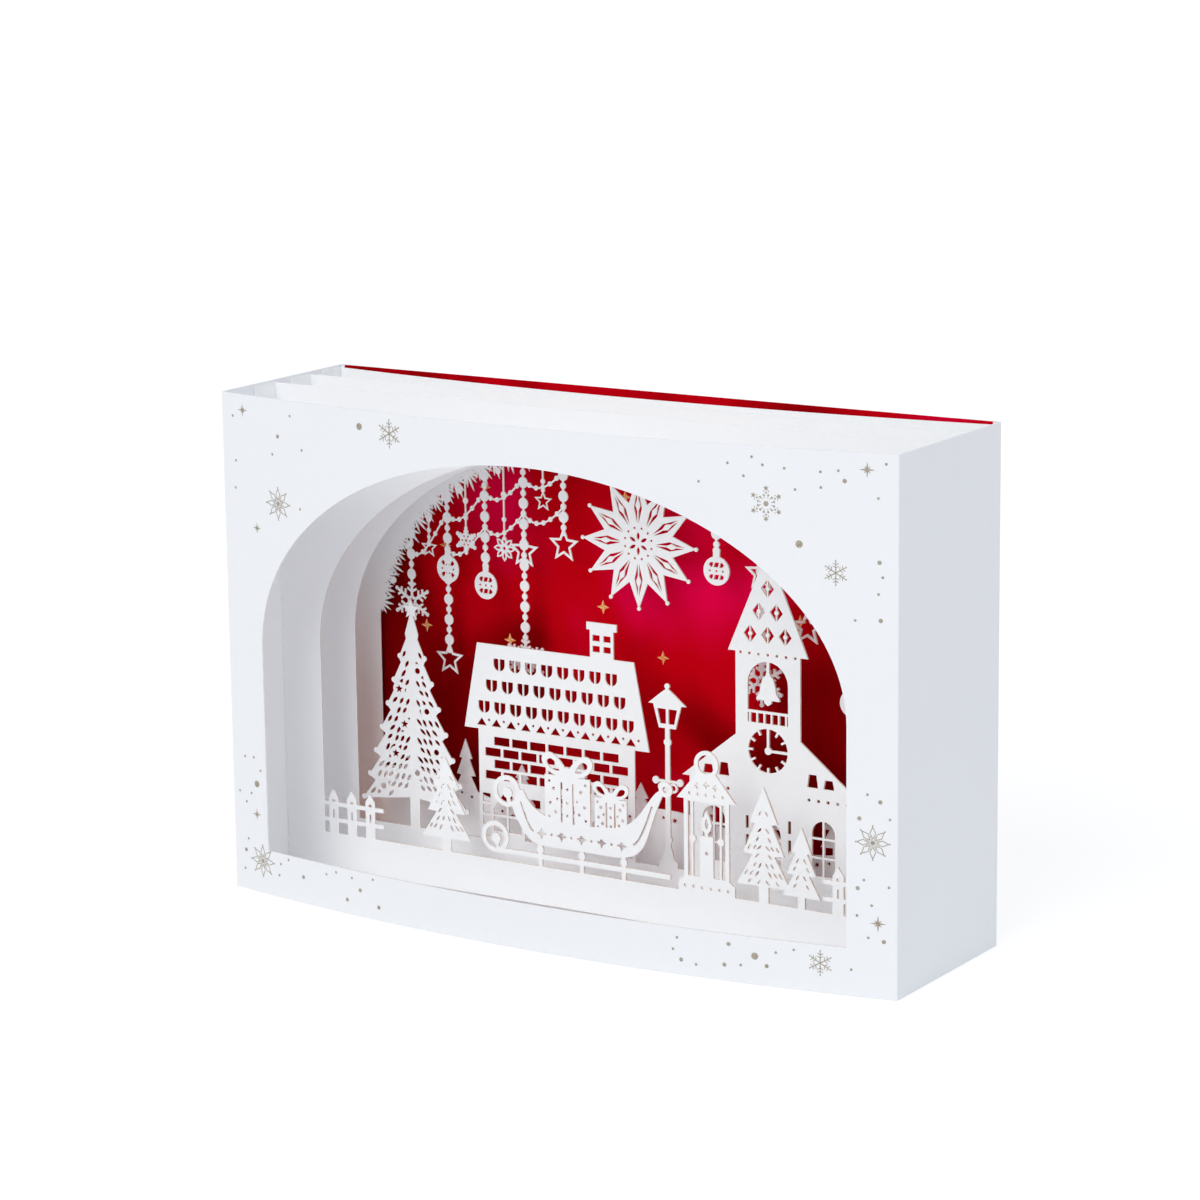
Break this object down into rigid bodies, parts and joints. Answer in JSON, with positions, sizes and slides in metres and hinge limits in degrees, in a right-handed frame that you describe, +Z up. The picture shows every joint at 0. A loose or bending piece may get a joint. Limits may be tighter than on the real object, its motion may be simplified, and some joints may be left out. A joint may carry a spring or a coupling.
{
  "type": "box-shaped pop-up greeting card",
  "caption": "Free-standing box card with a bowed front, an arched window, laser-cut winter village layers behind it and a red backing.",
  "frame": {"origin": "centre of the bounding box's base, on the surface that the card stands on", "axes": "+X along the card's width, to the right seen from the front; +Y from the front window to the backing; +Z up"},
  "size_m": [0.1794, 0.0566, 0.12],
  "materials": {
    "white_card": "matte",
    "layer_card": "matte",
    "red_card": "matte",
    "foil": "satin"
  },
  "bodies": {
    "root": {"outer_frame": "white_card", "foreground_layer": "layer_card", "middle_layer": "layer_card", "rear_layer": "layer_card", "backing_panel": "red_card"}
  },
  "joints": []
}
